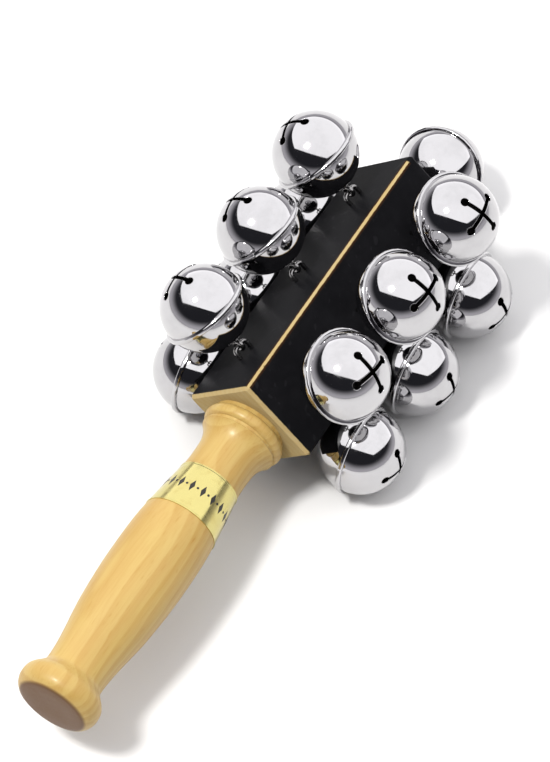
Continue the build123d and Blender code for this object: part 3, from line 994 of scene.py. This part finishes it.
def handle_profile(handle):
    """(distance from the block, radius) from the tenon's foot to the middle of the butt."""
    length = BLOCK_LOW.x - HANDLE_LOW.x
    tenon = HANDLE_HIGH.x - BLOCK_LOW.x
    tenon_radius, tenon_edge = 6 * MM, 0.4 * MM
    band_start = BLOCK_LOW.x - BAND_HIGH.x
    band_end = BLOCK_LOW.x - BAND_LOW.x
    band = bpy.context.scene.sleigh_band
    slope = (band.large - band.small) / (band_end - band_start)
    root = handle.bead - 1.5 * MM
    bead_middle, bead_half, bead_height = 3.4 * MM, 2.15 * MM, 1.88 * MM
    bulge = bead_bulge(bead_half, bead_height)
    waist = length - 12 * MM
    cove, cove_radius = 6.6 * MM, 12.25 * MM
    points = [(-tenon, 0.0), (-tenon, tenon_radius - tenon_edge), (-tenon + tenon_edge, tenon_radius)]
    points += [(0, tenon_radius), (0, root), (1.0 * MM, root), (1.25 * MM, root + 0.12 * MM)]
    points += [(bead_middle + x, handle.bead - bead_height + y) for x, y in bulge]
    points += [(5.55 * MM, root + 0.12 * MM), (5.75 * MM, root), (6.3 * MM, root)]
    points += [(6.42 * MM, root + 0.35 * MM), (cove, cove_radius)]
    stations = [  # distance, radius, slope and the steps to it from the station before
        (cove, cove_radius, -0.9, 0),
        (17 * MM, handle.neck, -0.02, 22),
        (band_start, band.small, slope, 8),
        (band_end, band.large, slope, 4),
        (band_end + 0.32 * (waist - band_end), handle.grip, 0.0, 14),
        (band_end + 0.60 * (waist - band_end), 0.94 * handle.grip, -0.075, 14),
        (waist, handle.waist, 0.02, 18),
        (length - 7.6 * MM, 12.35 * MM, 0.72, 14),
        (length - 4.4 * MM, handle.knob, 0.0, 8),
        (length - 1.3 * MM, 12.15 * MM, -0.75, 8),
    ]
    for (x1, y1, slope1, _), (x2, y2, slope2, steps) in zip(stations, stations[1:]):
        points += hermite((x1, y1), (x2, y2), slope1, slope2, steps)
    points += [(length - 0.5 * MM, 11.35 * MM), (length - 0.12 * MM, 10.5 * MM), (length, 9.6 * MM)]
    points += [(length, 6.4 * MM), (length, 3.2 * MM), (length, 0.0)]
    return points


def bead_bulge(half_width, height):
    """Half ellipse of a turned bead, as offsets along and out."""
    angles = np.radians(np.linspace(165, 15, 13))
    return [(half_width * math.cos(a), height * math.sin(a)) for a in angles]


# ---- Operators: one for each piece or group of like pieces ---------------------------------


class SLEIGH_OT_block(bpy.types.Operator):
    """Make the square block, standing on edge, with broken and slightly softened edges."""

    bl_idname = "sleigh.block"
    bl_label = "Block"

    def execute(self, context):
        settings = context.scene.sleigh_block
        length = BLOCK_HIGH.x - BLOCK_LOW.x
        softening = 0.12 * MM
        bar = bmesh.new()
        bmesh.ops.create_cube(bar, size=1.0)
        bmesh.ops.scale(bar, vec=(length, settings.side, settings.side), verts=bar.verts)
        bmesh.ops.bevel(bar, geom=bar.edges[:], offset=settings.edge_break, segments=1, affect="EDGES")
        bmesh.ops.bevel(bar, geom=bar.edges[:], offset=softening, segments=2, profile=0.5, affect="EDGES")
        place = Matrix.Translation(((BLOCK_LOW.x + BLOCK_HIGH.x) / 2, 0, AXIS_Z))
        on_edge = Matrix.Rotation(math.radians(45), 4, "X")
        bmesh.ops.transform(bar, matrix=place @ on_edge, verts=bar.verts)
        bmesh.ops.recalc_face_normals(bar, faces=bar.faces[:])
        mesh = bpy.data.meshes.new("lacquered_block")
        bar.to_mesh(mesh)
        bar.free()
        mesh.materials.append(material_named("lacquered_block"))
        mesh.polygons.foreach_set("use_smooth", [True] * len(mesh.polygons))
        block = new_piece("lacquered_block", mesh)
        harden = block.modifiers.new("weighted", "WEIGHTED_NORMAL")
        harden.keep_sharp = True
        finish_piece(block, "root", "black_lacquer", "block")
        return {"FINISHED"}


class SLEIGH_OT_handle(bpy.types.Operator):
    """Turn the handle in one piece with its bead, cove, grip, waist, knob and tenon."""

    bl_idname = "sleigh.handle"
    bl_label = "Handle"

    def execute(self, context):
        profile = [(radius, along) for along, radius in handle_profile(context.scene.sleigh_handle)]
        verts, faces = lathe(profile, 128, False)
        mesh = mesh_from("turned_handle", verts, faces, [material_named("turned_wood")], 50)
        mesh.transform(axis_matrix(BLOCK_LOW.x))
        finish_piece(new_piece("turned_handle", mesh), "root", "handle_wood", "handle")
        return {"FINISHED"}


class SLEIGH_OT_band(bpy.types.Operator):
    """Wrap the gold band round the cone behind the neck, with turned-in edges and its print."""

    bl_idname = "sleigh.band"
    bl_label = "Gold band"

    def execute(self, context):
        band = context.scene.sleigh_band
        start = BLOCK_LOW.x - BAND_HIGH.x
        end = BLOCK_LOW.x - BAND_LOW.x
        slope = (band.large - band.small) / (end - start)
        lip = 0.5 * MM

        def surface(along, lift):
            return (band.small + slope * (along - start) + lift, along)

        inset = band.thickness * 0.55
        foot, fold = 0.05 * MM, 0.1 * MM
        profile = [surface(start, -foot), surface(start, inset), surface(start + foot, band.thickness)]
        profile += [surface(start + lip, band.thickness), surface(start + lip + fold, inset)]
        count = 10
        for k in range(1, count):
            along = start + lip + (end - start - 2 * lip) * k / count
            profile.append(surface(along, inset))
        profile += [surface(end - lip - fold, inset), surface(end - lip, band.thickness)]
        profile += [surface(end - foot, band.thickness), surface(end, inset), surface(end, -foot)]
        verts, faces = lathe(profile, 128, True)
        mesh = mesh_from("gold_sleeve", verts, faces, [material_named("gold_sheet")], 40)
        mesh.transform(axis_matrix(BLOCK_LOW.x))
        sleeve = new_piece("gold_sleeve", mesh)
        finish_piece(sleeve, "root", "gold_band", "gold_band")
        middle = (start + end) / 2
        values = {
            "Count": band.motifs,
            "Radius": surface(middle, inset)[0],
            "Slope": slope,
            "Material": material_named("band_print"),
        }
        source = new_piece("band_print_source", bpy.data.meshes.new("band_print_source"))
        print_mesh = evaluated(source, band_print_tree(), values, "band_print")
        print_mesh.transform(axis_matrix(BLOCK_LOW.x) @ Matrix.Translation((0, 0, middle)))
        finish_piece(new_piece("band_print", print_mesh), "root", "gold_band")
        return {"FINISHED"}


class SLEIGH_OT_staples(bpy.types.Operator):
    """Drive a bent wire staple into the wood under every bell."""

    bl_idname = "sleigh.staples"
    bl_label = "Staples"

    def execute(self, context):
        bell = context.scene.sleigh_bell
        seats = [staple_matrix(name) for name in BELL_NAMES]
        points = bpy.data.meshes.new("staple_seats")
        points.from_pydata([tuple(seat.translation) for seat in seats], [], [])
        turns = points.attributes.new("seat_turn", "FLOAT_VECTOR", "POINT")
        for index, seat in enumerate(seats):
            turns.data[index].vector = seat.to_euler("XYZ")
        values = {
            "Spread": bell.staple_spread,
            "Leg": bell.staple_leg,
            "Bend": bell.staple_bend,
            "Wire Radius": bell.wire,
            "Material": material_named("bright_wire"),
        }
        mesh = evaluated(new_piece("staple_seats", points), staple_tree(), values, "wire_staples")
        smooth(mesh, 50)
        finish_piece(new_piece("wire_staples", mesh), "root", "staple_wire", "bell_staples")
        return {"FINISHED"}


class SLEIGH_OT_bells(bpy.types.Operator):
    """Make the thirteen bells, each with two crimped half shells, a riveted loop and a pellet."""

    bl_idname = "sleigh.bells"
    bl_label = "Bells"

    def execute(self, context):
        bell = context.scene.sleigh_bell
        chrome = material_named("chrome_shell")
        outer = outer_cup_mesh(bell, chrome)
        inner = inner_cup_mesh(bell, chrome)
        values = {
            "Ring Radius": bell.loop,
            "Wire Radius": bell.wire,
            "Bell Wall": bell.wall,
            "Material": material_named("bright_wire"),
        }
        seed = bpy.data.meshes.new("loop_source")
        loop = evaluated(new_piece("loop_source", seed), loop_tree(), values, "loop")
        smooth(loop, 50)
        pellet = pellet_mesh(bell)
        for name in BELL_NAMES:
            seat, centre = bell_matrix(name, False), bell_matrix(name, True)
            turned = centre @ Matrix.Rotation(bell.slot_turn * station(name), 4, "Z")
            drop = Matrix.Translation(pellet_place(name))
            for part, mesh, place, slot in (
                ("outer_cup", outer, turned, "chrome_outer"),
                ("inner_cup", inner, centre, "chrome_inner"),
                ("loop", loop, seat, "loop_wire"),
                ("pellet", pellet, drop, "pellet_steel"),
            ):
                copy = mesh.copy()
                copy.name = f"{part}_{name}"
                copy.transform(place)
                body = ("pellet_" if part == "pellet" else "bell_") + name
                finish_piece(new_piece(f"{part}_{name}", copy), body, slot, f"{name}_{part}")
        return {"FINISHED"}


def pellet_mesh(bell):
    """A steel ball round the origin, with a small flat where it was cut from its bar."""
    flat_height = 0.985 * bell.pellet
    profile = arc((0, 0), bell.pellet, -90, 82, 22) + [(0.0, flat_height)]
    verts, faces = lathe(profile, 40, False)
    return mesh_from("pellet", verts, faces, [material_named("pellet_steel")], 60)


def pellet_place(name):
    """Middle of the pellet of that bell, where it lies at rest."""
    low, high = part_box(f"{name}_pellet")
    return (low + high) / 2


LIGHTS = (  # name, direction from the bells, distance, width and height, power in watts, colour
    ("overhead_softbox", (0.36, 0.06, 0.93), 1.1, (3.8, 3.2), 62.0, (1.0, 0.99, 1.0)),
    ("key", (-0.34, 0.21, 0.92), 2.5, (0.4, 0.4), 60.0, (1.0, 0.985, 0.96)),
)
MIDDLE_OF_BELLS = Vector((20 * MM, 0, AXIS_Z))
AIM_ALONG = 31.9 * MM  # from the block's near end
AIM_LEFT, AIM_DOWN = 8.61 * MM, 9.52 * MM  # in the view
DARK_CEILING = (0.025, 0.025, 0.03, 1)
PALE_HORIZON = (0.66, 0.64, 0.68, 1)


class SLEIGH_OT_stage(bpy.types.Operator):
    """Set up the pale table, the overhead softbox, the key light and the camera."""

    bl_idname = "sleigh.stage"
    bl_label = "Stage"

    def execute(self, context):
        stage = context.scene.sleigh_stage
        back, right, up = view_axes(stage)
        aim = Vector((BLOCK_LOW.x + AIM_ALONG, 0, AXIS_Z)) - right * AIM_LEFT - up * AIM_DOWN
        add_camera(context, stage, aim, back, right, up)
        add_floor()
        add_world(context)
        for light in LIGHTS:
            add_light(*light)
        return {"FINISHED"}


def view_axes(stage):
    """Unit vectors back to the camera, to its right and up, with the roll applied."""
    az, el, roll = stage.azimuth, stage.elevation, stage.roll
    back = Vector((math.sin(az) * math.cos(el), -math.cos(az) * math.cos(el), math.sin(el)))
    right = Vector((math.cos(az), math.sin(az), 0))
    up = back.cross(right)
    rolled_right = right * math.cos(roll) + up * math.sin(roll)
    return back, rolled_right, back.cross(rolled_right)


def add_camera(context, stage, aim, back, right, up):
    """Camera that looks at the aim, with a lens that takes in the view height there."""
    sensor = 36.0
    camera_data = bpy.data.cameras.new("camera")
    camera_data.sensor_width = sensor
    camera_data.lens = sensor * stage.distance / stage.view_height
    camera_data.clip_end = 20.0
    camera = bpy.data.objects.new("camera", camera_data)
    turn = Matrix((right, up, back)).transposed().to_4x4()
    camera.matrix_world = Matrix.Translation(aim + back * stage.distance) @ turn
    context.scene.collection.objects.link(camera)
    context.scene.camera = camera


def add_floor():
    """Table top at height 0, wide enough to fill every view."""
    reach = 2.5
    corners = [(-reach, -reach, 0), (reach, -reach, 0), (reach, reach, 0), (-reach, reach, 0)]
    mesh = mesh_from("table_top", corners, [(0, 1, 2, 3)], [material_named("table_top")])
    new_piece("table_top", mesh)


def add_world(context):
    """Room light: a pale horizon that fades up into a dark ceiling."""
    world = bpy.data.worlds.new("studio")
    world.use_nodes = True
    nodes = Nodes(world.node_tree)
    direction = nodes.add("ShaderNodeTexCoord").outputs["Generated"]
    height = nodes.add("ShaderNodeSeparateXYZ", {0: direction}).outputs["Z"]
    tone = nodes.mix(nodes.fade(height, 0.38, 0.0), DARK_CEILING, PALE_HORIZON)
    nodes.link(tone, world.node_tree.nodes["Background"].inputs["Color"])
    context.scene.world = world
    context.scene.view_settings.view_transform = "Standard"


def add_light(name, direction, distance, size, power, colour):
    """Rectangular area light that looks at the middle of the bells."""
    place = MIDDLE_OF_BELLS + Vector(direction).normalized() * distance
    light = bpy.data.lights.new(name, "AREA")
    light.shape = "RECTANGLE"
    light.size, light.size_y = size
    light.energy = power
    light.color = colour
    box = bpy.data.objects.new(name, light)
    turn = (place - MIDDLE_OF_BELLS).to_track_quat("Z", "Y").to_matrix().to_4x4()
    box.matrix_world = Matrix.Translation(place) @ turn
    bpy.context.scene.collection.objects.link(box)


# ---- Panel and registration ----------------------------------------------------------------


class SLEIGH_PT_panel(bpy.types.Panel):
    """Settings and builders of the sleigh bells."""

    bl_idname = "SLEIGH_PT_panel"
    bl_label = "Sleigh Bells"
    bl_space_type = "VIEW_3D"
    bl_region_type = "UI"
    bl_category = "Sleigh Bells"

    def draw(self, context):
        for settings_name, operator in PANEL_ROWS:
            box = self.layout.box()
            if settings_name:
                settings = getattr(context.scene, settings_name)
                for prop in settings.__annotations__:
                    box.prop(settings, prop)
            box.operator(operator)


SETTINGS = {
    "sleigh_block": SleighBlockSettings,
    "sleigh_handle": SleighHandleSettings,
    "sleigh_band": SleighBandSettings,
    "sleigh_bell": SleighBellSettings,
    "sleigh_stage": SleighStageSettings,
}
OPERATORS = (
    SLEIGH_OT_block,
    SLEIGH_OT_handle,
    SLEIGH_OT_band,
    SLEIGH_OT_staples,
    SLEIGH_OT_bells,
    SLEIGH_OT_stage,
)
PANEL_ROWS = (
    ("sleigh_block", "sleigh.block"),
    ("sleigh_handle", "sleigh.handle"),
    ("sleigh_band", "sleigh.band"),
    (None, "sleigh.staples"),
    ("sleigh_bell", "sleigh.bells"),
    ("sleigh_stage", "sleigh.stage"),
)


def register():
    for settings in SETTINGS.values():
        bpy.utils.register_class(settings)
    for operator in OPERATORS:
        bpy.utils.register_class(operator)
    bpy.utils.register_class(SLEIGH_PT_panel)
    for name, settings in SETTINGS.items():
        setattr(bpy.types.Scene, name, PointerProperty(type=settings))


def unregister():
    for name in SETTINGS:
        delattr(bpy.types.Scene, name)
    bpy.utils.unregister_class(SLEIGH_PT_panel)
    for operator in reversed(OPERATORS):
        bpy.utils.unregister_class(operator)
    for settings in reversed(list(SETTINGS.values())):
        bpy.utils.unregister_class(settings)


def main():
    register()
    bpy.ops.sleigh.stage()
    bpy.ops.sleigh.block()
    bpy.ops.sleigh.handle()
    bpy.ops.sleigh.band()
    bpy.ops.sleigh.staples()
    bpy.ops.sleigh.bells()


if __name__ == "__main__":
    main()
